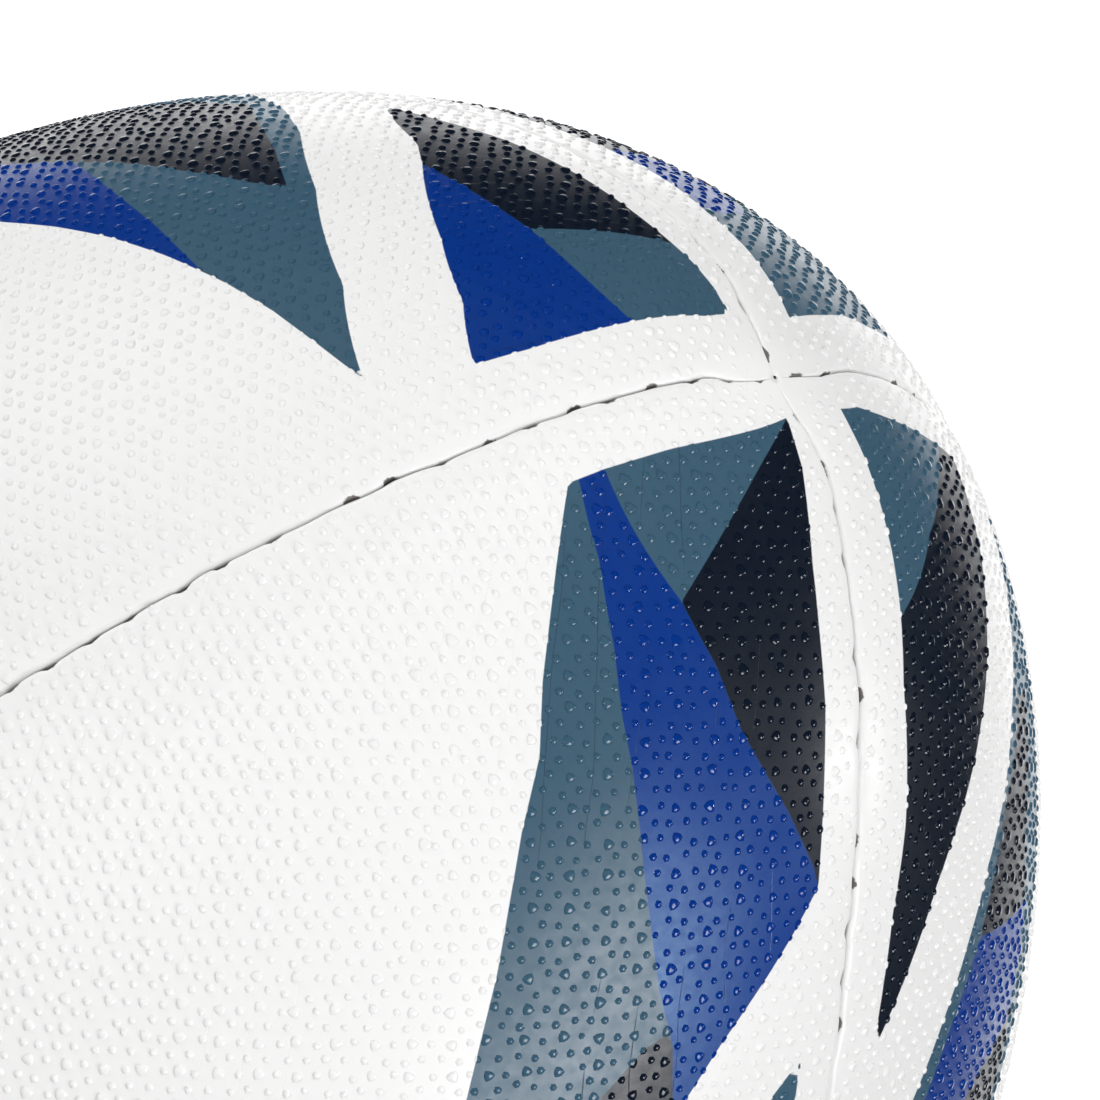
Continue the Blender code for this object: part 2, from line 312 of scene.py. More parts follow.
PRINT = {
    "right": {
        "block": [
            [(8, 2.5), (11, 0.1), (20, -7.3), (27, -12.4), (31, -15), (47, -6.9), (53, -3.2),
             (60, -0.6), (67, 2.6), (73, 5.4), (80, 8.2), (88, 11.5), (98, 16.5), (108, 23),
             (118, 32), (125, 41), (116, 37.5), (104, 34), (92, 32.2), (78, 31.7), (72, 31.7),
             (64, 32.4), (60, 32.6), (55, 32.6), (46, 27.3), (37, 21.9), (29, 16.4), (23, 12.4),
             (13, 6.4)],
            [(73, 43.1), (77, 42.2), (90, 39.5), (108, 38.6), (126, 41.5), (144, 48), (160, 57),
             (172, 69), (150, 66.5), (135, 64), (115, 58.8), (95, 52), (85, 48.3), (77, 45.5)],
        ],
        "blue": [
            [(26, -15.5), (27, -12.4), (29, -7.1), (32, 1.1), (36, 7.6), (41, 13.6), (44, 18.1),
             (48, 24.1), (53, 30.6), (57, 38), (90, 38), (86, 36), (78, 30), (72, 25.5),
             (68, 21.3), (63, 17), (58, 12.8), (54, 9.6), (49, 5.5), (45, 1.7), (40, -2.4),
             (34, -8.2), (30, -14), (29, -18)],
            [(96, 36), (112, 45), (130, 52), (150, 58), (180, 62), (150, 40), (110, 34)],
        ],
        "black": [
            [(3, 3), (8, 2.5), (15, 1.9), (32, 1.1), (36, 7.6), (41, 13.6), (44, 18.1),
             (48, 24.1), (53, 30.6), (55, 32.6), (58, 40), (40, 32), (20, 20), (4, 9)],
            [(71.5, 25.4), (74, 23.7), (80, 22.7), (92, 22), (105, 26), (118, 37), (128, 50),
             (95, 40), (84, 34.7), (78, 30)],
            [(74, 41.0), (84, 41.4), (96, 44.6), (112, 49), (132, 58), (112, 45), (96, 36), (80, 36)],
        ],
    },
    "top": {
        "block": [
            [(7, -0.9), (9, 0.9), (13, 3.2), (17, 5.9), (23, 10.1), (28, 13.6), (34, 17.3),
             (34, 9.3), (37, 0.5), (44, -13.8), (47, -18.9), (53, -25.8), (59, -33.7), (50, -29),
             (42, -25.3), (35, -21.2), (30, -18.1), (22, -12.7), (14, -7.3), (10, -4.1)],
            [(45, 21.1), (46, 8.9), (52, -6.6), (60, -20.8), (67, -30.2), (78, -42), (88, -48),
             (98, -51.5), (110, -55.5), (124, -59.5), (134, -62.5), (128, -50), (119, -36),
             (108, -21), (98, -12), (86, -5.9), (79, -2.9), (72, 0.5), (65, 4.5), (58, 9.1),
             (53, 13), (49, 16.9)],
        ],
        "blue": [
            [(17, 5.9), (24, 0.2), (29, -3.8), (44, -13.8), (48, -12), (43, -2), (40, 9), (38, 22),
             (30, 22), (14, 9)],
            [(58, 14), (61, 6.9), (67, -0.4), (74, -7.9), (83, -17.6), (95, -22.9), (108, -33),
             (120, -48), (132, -66), (145, -50), (110, 0), (80, 15)],
        ],
        "black": [
            [(49, -13), (44, -13.8), (29, -3.8), (17, -9.4), (12, -12), (40, -34), (64, -42),
             (63, -33), (57, -24)],
            [(55, -6.8), (60, -8.3), (69, -12), (74, -14.4), (83, -17.8), (95, -22.9),
             (108, -33), (119, -47), (125, -57), (112, -52), (98, -46), (84, -40), (73, -33.9),
             (65, -22.7), (60, -15.6)],
        ],
    },
    "bottom": {
        "block": [
            [(8, -1.2), (10, 1.3), (15, 4.7), (20, 8.1), (25, 11.4), (30, 14.7), (32, 15.5),
             (35, 9.9), (39, 1.7), (46, -9), (54, -20.4), (58, -25.4), (64, -31.3), (74, -41.0),
             (66, -37.2), (59, -33.6), (50, -27.6), (36, -19.4), (28, -13.5), (23, -10),
             (17, -6.1), (13, -3.7)],
            [(44, 21), (47, 10), (51, 0.1), (56, -7.2), (61, -14.7), (67, -21.1), (74, -27.7),
             (82, -34.6), (92, -42), (104, -50), (118, -58), (134, -62.5), (128, -50),
             (119, -36), (108, -22), (98, -12), (88, -5), (78, 2), (66, 9), (56, 15), (49, 19)],
        ],
        "blue": [
            [(68, -18.6), (76, -26.6), (83, -32.2), (96, -43), (110, -52), (116, -48),
             (100, -33), (87, -21.6), (84.5, -9), (78, -5.2), (73.5, -4)],
        ],
        "black": [
            [(30, -20), (29, -13.7), (27, -8.1), (25, -2.3), (25, 5.7), (27, 13), (27, 20),
             (38, 18), (41, 9), (45, 1), (51, -9), (57, -17.5), (68, -29), (76, -38), (74, -48),
             (50, -38)],
            [(52, 3.8), (58, -8.5), (68, -18.6), (73.5, -4), (66, -2), (60, 2.5), (55, 8)],
            [(84.5, -9), (87, -21.6), (100, -33), (112, -45), (116, -36), (102, -20), (92, -11)],
        ],
    },
    "left": {
        "block": [
            [(6, 0.5), (10, 2.4), (17, 6.1), (24, 10.8), (30, 14.2), (38, 19.6), (44, 24),
             (52, 29.5), (60, 34), (68, 38.5), (61, 28), (54, 19), (46, 8.5), (40, -1),
             (36, -9), (32, -16), (24, -11.3), (18, -6.9), (12, -3.4)],
            [(45, -21.1), (46, -8.9), (52, 6.6), (60, 20.8), (67, 30.2), (78, 42), (88, 47),
             (98, 51), (110, 55), (124, 59), (134, 62), (128, 50), (119, 36), (108, 21), (98, 12),
             (86, 5.9), (79, 2.9), (72, -0.5), (65, -4.5), (58, -9.1), (53, -13), (49, -16.9)],
        ],
        "blue": [
            [(24.5, 14), (25, 8.5), (30, 5), (38, 6), (44, 12), (40, 20), (38, 26)],
            [(58, -14), (61, -6.9), (67, 0.4), (74, 7.9), (83, 17.6), (95, 22.9), (108, 33),
             (120, 48), (132, 66), (145, 50), (110, 0), (80, -15)],
        ],
        "black": [
            [(38, 26), (40, 20), (44, 12), (38, 6), (42, -4), (50, 6), (75, 38), (70, 46)],
            [(55, 6.8), (60, 8.3), (69, 12), (74, 14.4), (83, 17.8), (95, 22.9), (108, 33),
             (119, 47), (125, 57), (112, 52), (98, 46), (84, 40), (73, 33.9), (65, 22.7),
             (60, 15.6)],
        ],
    },
}


def inside_distance(s, w, polygon):
    """Distance to a polygon's edge, positive inside it."""
    points = np.array(polygon, float)
    best = np.full(s.shape, 1e9)
    inside = np.zeros(s.shape, bool)
    for (s0, w0), (s1, w1) in zip(points, np.roll(points, -1, axis=0)):
        ds, dw = s1 - s0, w1 - w0
        t = np.clip(((s - s0) * ds + (w - w0) * dw) / (ds * ds + dw * dw), 0.0, 1.0)
        best = np.minimum(best, (s - s0 - t * ds) ** 2 + (w - w0 - t * dw) ** 2)
        if dw:
            crosses = ((w0 > w) != (w1 > w)) & (s < s0 + ds * (w - w0) / dw)
            inside ^= crosses
    return np.where(inside, 1.0, -1.0) * np.sqrt(best)


def ink_distances(panel, s, theta):
    """Signed distances into a panel's block, blue and black at points of the straight pattern."""
    s, theta = slid(s, theta)
    middle = math.radians(PANELS[panel])
    turn = (theta - middle + math.pi) % (2 * math.pi) - math.pi
    w = turn * profile(s, TABLE_R)
    found = {}
    for layer, polygons in PRINT[panel].items():
        near_end = [inside_distance(s, w, polygon) for polygon in polygons]
        far_end = [inside_distance(ARC - s, -w, polygon) for polygon in polygons]
        found[layer] = np.maximum.reduce(near_end + far_end).clip(-INK_FARTHEST, INK_FARTHEST)
    return found, s, w


# Mesh helpers


def write_mesh(name, points, faces, attributes=None, smooth_shade=True):
    """faces is a list of index arrays, one array for each number of corners."""
    mesh = bpy.data.meshes.new(name)
    mesh.vertices.add(len(points))
    mesh.vertices.foreach_set("co", (points * MM).astype(np.float32).ravel())
    corners = np.concatenate([f.ravel() for f in faces])
    totals = np.concatenate([np.full(len(f), f.shape[1]) for f in faces])
    starts = np.concatenate([[0], np.cumsum(totals)[:-1]])
    mesh.loops.add(len(corners))
    mesh.loops.foreach_set("vertex_index", corners.astype(np.int32))
    mesh.polygons.add(len(totals))
    mesh.polygons.foreach_set("loop_start", starts.astype(np.int32))
    for key, values in (attributes or {}).items():
        kind = "FLOAT_VECTOR" if values.ndim == 2 else "FLOAT"
        field = "vector" if values.ndim == 2 else "value"
        attribute = mesh.attributes.new(key, kind, "POINT")
        attribute.data.foreach_set(field, values.astype(np.float32).ravel())
    mesh.update(calc_edges=True)
    if smooth_shade:
        mesh.shade_smooth()
    obj = bpy.data.objects.new(name, mesh)
    bpy.context.scene.collection.objects.link(obj)
    return obj


def grid_faces(rows, columns):
    index = np.arange(rows * columns).reshape(rows, columns)
    faces = [index[:-1, :-1], index[:-1, 1:], index[1:, 1:], index[1:, :-1]]
    return np.stack(faces, axis=-1).reshape(-1, 4)


def close_shell(outer, count):
    """Faces of a sheet, the same sheet inside it, and the strips that join their free edges."""
    inner = outer[:, ::-1] + count
    edges = np.stack([outer, np.roll(outer, -1, axis=1)], axis=-1).reshape(-1, 2)
    forward = edges[:, 0] * count + edges[:, 1]
    backward = edges[:, 1] * count + edges[:, 0]
    free = edges[~np.isin(forward, backward)]
    strips = np.stack([free[:, 1], free[:, 0], free[:, 0] + count, free[:, 1] + count], axis=-1)
    return np.concatenate([outer, inner, strips])


# Cover panels


def section_rows(section, scale):
    """A section's distances and heights: a row for each of its points, a column for each s."""
    distances = np.stack([np.broadcast_to(distance, scale.shape) for distance, _ in section])
    heights = np.array([height for _, height in section])[:, None]
    return distances * scale, heights * scale


def edge_section(gap, scale):
    """One folded edge, from the flange's foot up to the panel's face: its outside, then its inside."""
    flange = FLANGE_GAP + FLANGE_FOLLOW * (gap - SEAM_GAP)
    pocket_top, pocket_high, pocket_low, pocket_foot = POCKET_DEPTHS
    outside = [
        (flange, -FLANGE_DEPTH),
        (flange, -pocket_foot),
        (POCKET_GAP, -pocket_low),
        (POCKET_GAP, -pocket_high),
        (flange, -pocket_top),
    ]
    inside = [(distance + THICKNESS, height) for distance, height in outside]
    for turn in np.linspace(0.0, math.pi / 2, ROLL_STEPS):
        for side, radius in ((outside, ROLL_RADIUS), (inside, INNER_ROLL_RADIUS)):
            distance = gap + ROLL_RADIUS - radius * math.cos(turn)
            side.append((distance, radius * math.sin(turn) - ROLL_RADIUS))
    for step in EDGE_STEPS:
        outside.append((gap + ROLL_RADIUS + step, 0.0))
        inside.append((gap + ROLL_RADIUS + step, -THICKNESS))
    return section_rows(outside, scale), section_rows(inside, scale)


def seam_gap_shade(panel, s, e, width):
    """How much painted shade, for the shadow in an opened stitch gap, lies at each point near the seams, from
    0 to 1.
    """
    gap_shades = []
    for seam, gap, away in ((BELOW[panel], "gap_above", e), (ABOVE[panel], "gap_below", width - e)):
        opened = ((along(seam, gap, s) - SEAM_GAP) / GAP_SHADE_FULL).clip(0.0, 1.0)
        reach = GAP_SHADE_FAR * (GAP_SHADE_LEAST + (1.0 - GAP_SHADE_LEAST) * opened)
        gap_shades.append(opened * (1.0 - smooth(GAP_SHADE_NEAR, reach, away)))
    return np.maximum(*gap_shades)


def open_valve_hole(s, w):
    """Moves the grid's points out round the valve, and says which of them the hole takes away."""
    middle_row = ROWS // 2
    middle_column = int(np.argmin(abs(w[middle_row])))
    row_step = s[middle_row + 1, 0] - s[middle_row, 0]
    column_step = w[middle_row, middle_column + 1] - w[middle_row, middle_column]
    half_rows = round(HOLE_SQUARE / row_step)
    half_columns = round(HOLE_SQUARE / column_step)
    rows, columns = np.indices(w.shape)
    a, b = rows - middle_row, columns - middle_column
    level = np.maximum(abs(a) / half_rows, abs(b) / half_columns)
    distance = np.hypot(a * row_step, b * column_step).clip(row_step)
    ring = HOLE_RADIUS * level / distance
    loose = smooth(1.0, HOLE_REACH / HOLE_RADIUS, level)
    round_s, round_w = ARC / 2 + ring * a * row_step, ring * b * column_step
    return loose * s + (1.0 - loose) * round_s, loose * w + (1.0 - loose) * round_w, level < 1.0


def cover_layers(panel, s, width, scale):
    """The cover's outer and inner sheets as (distance from the lower seam, height) grids."""
    below = edge_section(along(BELOW[panel], "gap_above", s), scale)
    above = edge_section(along(ABOVE[panel], "gap_below", s), scale)
    share = np.linspace(0.0, 1.0, FIELD_COLUMNS + 1)[1:-1, None]
    layers = []
    for (e_low, h_low), (e_high, h_high), drop in zip(below, above, (0.0, -THICKNESS)):
        first, last = e_low[-1], width - e_high[-1]
        field = first + share * (last - first)
        flat = np.broadcast_to(drop * scale, field.shape)
        e = np.concatenate([e_low, field, width - e_high[::-1]]).T
        layers.append((e, np.concatenate([h_low, flat, h_high[::-1]]).T))
    return layers


def cover_angles(e, height, grid_s, low, high):
    """The angle of each grid point. A folded flange keeps its distance from its own seam."""
    radius = profile(grid_s, TABLE_R)
    width = radius * (high - low)
    deep_radius = (radius + height * profile(grid_s, TABLE_NR)).clip(LEAST_FOLD_SHARE * radius)
    folded = np.where(e > width / 2, high - (width - e) / deep_radius, low + e / deep_radius)
    return np.where(height < -FOLD_DEPTH, folded, low + e / radius)


def build_cover(panel):
    s = np.linspace(TIP_START, ARC - TIP_START, ROWS)
    low, high = panel_edges(panel, s)
    width = profile(s, TABLE_R) * (high - low)
    scale = np.minimum(1.0, width / 2 / FULL_EDGE_WIDTH)
    layers = cover_layers(panel, s, width, scale)
    outer_e = layers[0][0]
    columns = outer_e.shape[1]
    grid_s = np.repeat(s[:, None], columns, axis=1)
    to_low, to_high = outer_e.clip(0.0), (width[:, None] - outer_e.clip(0.0)).clip(0.0)
    relief = seam_relief(panel, grid_s, to_low, to_high) * scale[:, None]
    middle = math.radians(PANELS[panel])
    gone = np.zeros(grid_s.shape, bool)
    points, places = [], []
    for e, height in layers:
        at_s = grid_s
        theta = cover_angles(e, height, grid_s, low[:, None], high[:, None])
        if panel == VALVE_PANEL:
            at_s, w, gone = open_valve_hole(grid_s, (theta - middle) * profile(grid_s, TABLE_R))
            theta = middle + w / profile(at_s, TABLE_R)
        points.append(surface(at_s, theta, height + relief).reshape(-1, 3))
        places.append((at_s.ravel(), theta.ravel()))
    faces = grid_faces(ROWS, columns)
    kept = ~gone.ravel()[faces].any(axis=1)
    used, shell = np.unique(close_shell(faces[kept], len(points[0])), return_inverse=True)
    flat_s, flat_theta = places[0]
    inks, print_s, print_w = ink_distances(panel, flat_s, flat_theta)
    # Painted shade for the opened stitch gaps, carried as a point attribute
    inks["gap_shade"] = seam_gap_shade(panel, flat_s, outer_e.ravel(), width.repeat(columns))
    attributes = {key: np.concatenate([value, value])[used] for key, value in inks.items()}
    gore = np.stack([print_s, print_w, np.zeros_like(print_s)], axis=-1)
    attributes["gore"] = np.concatenate([gore, gore])[used]
    shell = shell.reshape(-1, 4)[:, ::-1]
    return write_mesh(f"cover_{panel}", np.concatenate(points)[used], [shell], attributes)


# Pimples


def flat_point(s, w):
    """Where a point of the panel lies in the flat sheet that the panel was cut from."""
    bend = profile(s, TABLE_BEND)
    return s - bend * w * w / 2 * np.sinc(bend * w / 2 / math.pi) ** 2, w * np.sinc(bend * w / math.pi)


def curved_point(u, v):
    """The s and w of points of the flat sheet, found by Newton's method, and how far off they are."""
    s, w = u.copy(), v.copy()
    for _ in range(SEARCH_ROUNDS):
        here = flat_point(s, w)
        by_s = flat_point(s + SEARCH_STEP, w)
        by_w = flat_point(s, w + SEARCH_STEP)
        a, b = (by_s[0] - here[0]) / SEARCH_STEP, (by_w[0] - here[0]) / SEARCH_STEP
        c, d = (by_s[1] - here[1]) / SEARCH_STEP, (by_w[1] - here[1]) / SEARCH_STEP
        stretch = a * d - b * c
        stretch = np.where(abs(stretch) < LEAST_STRETCH, LEAST_STRETCH, stretch)
        miss_u, miss_v = u - here[0], v - here[1]
        s = (s + (d * miss_u - b * miss_v) / stretch).clip(SEARCH_END, ARC - SEARCH_END)
        w = w + (a * miss_v - c * miss_u) / stretch
    found = flat_point(s, w)
    return s, w, np.hypot(found[0] - u, found[1] - v)


def lattice(panel, rng):
    """A sheet's pimples as (s, angle, turn, large). Every second one of every second row is large."""
    row_pitch = PITCH * math.sqrt(3) / 2
    reach = int(SHEET_REACH * ARC / row_pitch)
    numbers = np.arange(-reach, reach + 1)
    rows, places = np.meshgrid(numbers, numbers, indexing="ij")
    along_row = (places + 0.5 * (rows % 2)) * PITCH
    large = ((rows % 2 == 0) & (places % 2 == 0)).ravel()
    lean = math.radians(SHEET_TURN[panel])
    u = ARC / 2 + (rows * row_pitch * math.cos(lean) - along_row * math.sin(lean)).ravel()
    v = (rows * row_pitch * math.sin(lean) + along_row * math.cos(lean)).ravel()
    u = u + rng.normal(0.0, JITTER, len(u))
    v = v + rng.normal(0.0, JITTER, len(v))
    near = (abs(v) < SHEET_HALF_WIDTH) & (u > -SHEET_MARGIN) & (u < ARC + SHEET_MARGIN)
    s, w, miss = curved_point(u[near], v[near])
    radius = profile(s, TABLE_R)
    low, high = panel_edges(panel, s)
    theta = math.radians(PANELS[panel]) + w / radius
    keep = miss < LARGEST_MISS
    keep &= (radius * (theta - low) > SEAM_MARGIN) & (radius * (high - theta) > SEAM_MARGIN)
    keep &= (s > TIP_MARGIN) & (s < ARC - TIP_MARGIN)
    if panel == VALVE_PANEL:
        keep &= np.hypot(s - ARC / 2, w) > VALVE_MARGIN
    turn = -profile(s, TABLE_BEND) * w
    return s[keep], theta[keep], turn[keep], large[near][keep]


def pimple_template(sides, lobes, rings, top):
    """One pimple's unit points (across, along, height), and its faces of four and of three sides."""
    angles = np.arange(sides) * 2 * math.pi / sides
    reach = 1.0 + lobes * np.cos(3 * angles)
    outline = np.stack([reach * np.cos(angles), reach * np.sin(angles)], axis=-1)
    points = [(radius * x, radius * y, height) for radius, height in rings for x, y in outline]
    points.append((0.0, 0.0, top))
    around = [(k, (k + 1) % sides) for k in range(sides)]
    last = (len(rings) - 1) * sides
    starts = range(0, last, sides)
    bands = [(start, start + sides) for start in starts]
    quads = [(low + a, low + b, high + b, high + a) for low, high in bands for a, b in around]
    caps = [(last + a, last + b, len(points) - 1) for a, b in around]
    return np.array(points), np.array(quads), np.array(caps)


TEMPLATES = {large: pimple_template(**shape) for large, shape in PIMPLE_SHAPES.items()}


def place_pimples(panel, shape, radius, s, theta, turn, sizes):
    """The points of many pimples of one shape: their place on the pattern, then in space."""
    across = shape[:, 0] * radius * sizes[:, :1]
    forward = shape[:, 1] * radius * sizes[:, :1]
    cosine, sine = np.cos(turn)[:, None], np.sin(turn)[:, None]
    at_s = s[:, None] + across * cosine - forward * sine
    at_theta = theta[:, None] + (across * sine + forward * cosine) / profile(s, TABLE_R)[:, None]
    low, high = panel_edges(panel, at_s)
    local = profile(at_s, TABLE_R)
    e_low, e_high = local * (at_theta - low), local * (high - at_theta)
    fullness = LOW_AT_SEAM + (1.0 - LOW_AT_SEAM) * smooth(*LOW_REACH, np.minimum(e_low, e_high))
    height = shape[:, 2] * PIMPLE_HEIGHT * sizes[:, 1:] * fullness
    relief = seam_relief(panel, at_s, e_low, e_high)
    points = surface(at_s, at_theta, height + relief).reshape(-1, 3)
    return at_s.ravel(), at_theta.ravel(), points


def pimple_mesh(name, panel, s, theta, turn, large, sizes, with_inks):
    places, points, quads, caps = [], [], [], []
    start = 0
    for kind, kind_radius in ((False, SMALL_RADIUS), (True, LARGE_RADIUS)):
        pick = np.flatnonzero(large == kind)
        shape, shape_quads, shape_caps = TEMPLATES[kind]
        picked = (s[pick], theta[pick], turn[pick], sizes[pick])
        at_s, at_theta, at = place_pimples(panel, shape, kind_radius, *picked)
        places.append(np.stack([at_s, at_theta]))
        points.append(at)
        offsets = start + np.arange(len(pick))[:, None, None] * len(shape)
        quads.append((shape_quads + offsets).reshape(-1, 4))
        caps.append((shape_caps + offsets).reshape(-1, 3))
        start += len(at)
    flat_s, flat_theta = np.concatenate(places, axis=1)
    if with_inks:
        attributes, print_s, print_w = ink_distances(panel, flat_s, flat_theta)
    else:
        attributes, print_s = {}, flat_s
        print_w = (flat_theta - math.radians(PANELS[panel])) * profile(flat_s, TABLE_R)
    attributes["gore"] = np.stack([print_s, print_w, np.zeros_like(print_s)], axis=-1)
    faces = [np.concatenate(quads), np.concatenate(caps)]
    return write_mesh(name, np.concatenate(points), faces, attributes)


def ink_of(panel, s, theta):
    """The ink on each pimple, or "mixed" where the edge of a printed shape crosses it."""
    inks, _, _ = ink_distances(panel, s, theta)
    on_edge = {key: abs(distance) < INK_REACH for key, distance in inks.items()}
    crossed = on_edge["block"] | ((inks["block"] > 0) & (on_edge["blue"] | on_edge["black"]))
    rules = [crossed, inks["block"] < 0, inks["black"] > 0, inks["blue"] > 0]
    return np.select(rules, ["mixed", "white", "black", "blue"], "grey")


def build_pimples(panel, seed):
    """A panel's pimples as pieces by ink and by end, each with the ink it has."""
    rng = np.random.default_rng(seed)
    s, theta, turn, large = lattice(panel, rng)
    count = len(s)
    turn = turn + rng.normal(0.0, TURN_SCATTER, count)
    turn += rng.choice([0.0, math.pi / 3], count, p=[1.0 - TURNED_SHARE, TURNED_SHARE])
    sizes = np.stack([rng.normal(1.0, WIDTH_SCATTER, count), rng.normal(1.0, HEIGHT_SCATTER, count)], axis=-1)
    inks = ink_of(panel, s, theta)
    made = []
    for ink in ("white", "grey", "blue", "black", "mixed"):
        for end, at_end in (("front", s < ARC / 2), ("back", s >= ARC / 2)):
            pick = np.flatnonzero((inks == ink) & at_end)
            if len(pick):
                parts = (s[pick], theta[pick], turn[pick], large[pick], sizes[pick])
                obj = pimple_mesh(f"pimples_{panel}_{ink}_{end}", panel, *parts, with_inks=ink == "mixed")
                made.append((obj, ink))
    return made


# Seam threads


def build_thread(seam):
    """A two-strand waxed thread that rises into each stitch and sinks between."""
    line = SEAM_LINES[seam]
    s = np.arange(THREAD_START, ARC - THREAD_START, THREAD_STEP)
    rise = np.zeros_like(s)
    sway = np.zeros_like(s)
    for stitch, side in zip(line["centres"], line["sides"]):
        bump = np.exp(-(((s - stitch) / THREAD_REACH) ** 2))
        rise += THREAD_RISE * bump
        sway += THREAD_SWAY * side * bump
    height = rise - THREAD_DEPTH
    angle = along(seam, "angle", s) + sway / profile(s, TABLE_R)
    centre = surface(s, angle, height)
    ahead = np.gradient(centre, axis=0)
    ahead /= np.linalg.norm(ahead, axis=1)[:, None]
    outward = surface(s, angle, height + 1.0) - centre
    sideways = np.cross(ahead, outward)
    sideways /= np.linalg.norm(sideways, axis=1)[:, None]
    up = np.cross(sideways, ahead)
    turns = np.arange(THREAD_SIDES) * 2 * math.pi / THREAD_SIDES
    twist = s[:, None] * 2 * math.pi / THREAD_TWIST
    radius = THREAD_RADIUS + THREAD_LOBES * np.cos(2 * (turns - twist))
    rim = np.cos(turns)[:, None] * sideways[:, None] + np.sin(turns)[:, None] * up[:, None]
    points = (centre[:, None] + radius[..., None] * rim).reshape(-1, 3)
    index = np.arange(len(points)).reshape(len(s), THREAD_SIDES)
    wrap = np.roll(index, -1, axis=1)
    quads = np.stack([index[:-1], wrap[:-1], wrap[1:], index[1:]], axis=-1).reshape(-1, 4)
    first, last = len(points), len(points) + 1
    caps = [(first, after, k) for k, after in zip(index[0], wrap[0])]
    caps += [(last, k, after) for k, after in zip(index[-1], wrap[-1])]
    points = np.concatenate([points, centre[:1], centre[-1:]])
    return write_mesh(f"stitches_{seam}", points, [quads, np.array(caps)])


# Materials


INPUTS = {
    "colour": "Base Color",
    "roughness": "Roughness",
    "specular": "Specular IOR Level",
    "tint": "Specular Tint",
    "normal": "Normal",
    "coat": "Coat Weight",
    "sheen": "Sheen Weight",
    "glow": "Emission Strength",
    "glow_colour": "Emission Color",
}
# Most of a noise's values lie in this range
NOISE = (0.3, 0.7)
PER_MM = (1.0 / MM,) * 3
# A wave texture of this scale repeats about once a unit
WAVE_SCALE = 0.31
WHITE = (1.0, 1.0, 1.0)


class Nodes:
    """A node tree, with short calls for what this scene uses."""

    def __init__(self, tree):
        self.tree = tree

    def node(self, kind, **values):
        made = self.tree.nodes.new(kind)
        for key, value in values.items():
            setattr(made, key, value)
        return made

    def feed(self, socket, value):
        if isinstance(value, bpy.types.NodeSocket):
            self.tree.links.new(value, socket)
        else:
            socket.default_value = value

    def math(self, operation, a, b=0.0, clamp=False):
        made = self.node("ShaderNodeMath", operation=operation, use_clamp=clamp)
        self.feed(made.inputs[0], a)
        self.feed(made.inputs[1], b)
        return made.outputs[0]

    def span(self, value, low, high, to_low=0.0, to_high=1.0):
        """Carries a range smoothly to another, and holds it beyond the ends."""
        made = self.node("ShaderNodeMapRange", interpolation_type="SMOOTHSTEP")
        for socket, given in zip(made.inputs, (value, low, high, to_low, to_high)):
            self.feed(socket, given)
        return made.outputs[0]


class Shade(Nodes):
    """A material's node tree."""

    def __init__(self, name):
        self.material = bpy.data.materials.new(name)
        self.material.use_nodes = True
        super().__init__(self.material.node_tree)
        self.shader = self.tree.nodes["Principled BSDF"]

    def set(self, **values):
        for key, value in values.items():
            self.feed(self.shader.inputs[INPUTS[key]], value)

    def attribute(self, name, output="Fac"):
        return self.node("ShaderNodeAttribute", attribute_name=name).outputs[output]

    def mix(self, factor, a, b):
        made = self.node("ShaderNodeMix", data_type="RGBA")
        self.feed(made.inputs["Factor"], factor)
        colours = [socket for socket in made.inputs if socket.type == "RGBA"]
        for socket, value in zip(colours, (a, b)):
            self.feed(socket, value if isinstance(value, bpy.types.NodeSocket) else (*value, 1.0))
        return next(socket for socket in made.outputs if socket.type == "RGBA")

    def place(self, source, scale):
        made = self.node("ShaderNodeMapping")
        self.feed(made.inputs["Vector"], source)
        made.inputs["Scale"].default_value = scale
        return made.outputs[0]

    def object_place(self):
        """The object's own coordinates, in millimetres."""
        return self.place(self.node("ShaderNodeTexCoord").outputs["Object"], PER_MM)

    def noise(self, vector, scale, detail=2.0, roughness=0.5):
        made = self.node("ShaderNodeTexNoise")
        self.feed(made.inputs["Vector"], vector)
        made.inputs["Scale"].default_value = scale
        made.inputs["Detail"].default_value = detail
        made.inputs["Roughness"].default_value = roughness
        return made.outputs["Fac"]

    def bump(self, height, distance, strength=1.0):
        """A bump of a height in millimetres."""
        made = self.node("ShaderNodeBump")
        self.feed(made.inputs["Height"], height)
        made.inputs["Distance"].default_value = distance * MM
        made.inputs["Strength"].default_value = strength
        return made.outputs[0]


def printed_colour(shade):
    """White rubber with its print, crisp at the edges. Also where blue shows, and where any ink does."""
    block, blue, black = (
        shade.span(shade.attribute(key), -INK_EDGE, INK_EDGE) for key in ("block", "blue", "black")
    )
    inked = shade.mix(blue, INKS["grey"], INKS["blue"])
    inked = shade.mix(black, inked, INKS["black"])
    blue_shows = shade.math("MULTIPLY", blue, shade.math("SUBTRACT", block, black, clamp=True))
    return shade.mix(block, INKS["white"], inked), blue_shows, block


def crease_lines(shade, gore):
    """Hairline creases that run slantwise down the panel, here and there. 1 on a crease."""
    parts = shade.node("ShaderNodeSeparateXYZ")
    shade.feed(parts.inputs[0], gore)
    sway = shade.noise(shade.place(gore, (0.25, 1.0, 1.0)), 0.045)
    down = shade.math("MULTIPLY", parts.outputs[0], -math.sin(CREASE_TURN) / CREASE_PITCH)
    across = shade.math("MULTIPLY", parts.outputs[1], math.cos(CREASE_TURN) / CREASE_PITCH)
    across = shade.math("ADD", across, down)
    across = shade.math("ADD", across, shade.math("MULTIPLY", sway, CREASE_SWAY))
    off_middle = shade.math("ABSOLUTE", shade.math("SUBTRACT", shade.math("FRACT", across), 0.5))
    line = shade.span(off_middle, 0.0, CREASE_WIDTH / CREASE_PITCH, 1.0, 0.0)
    patch = shade.span(shade.noise(shade.place(gore, (0.5, 1.0, 1.0)), 0.06), 0.50, 0.58)
    return shade.math("MULTIPLY", line, patch)


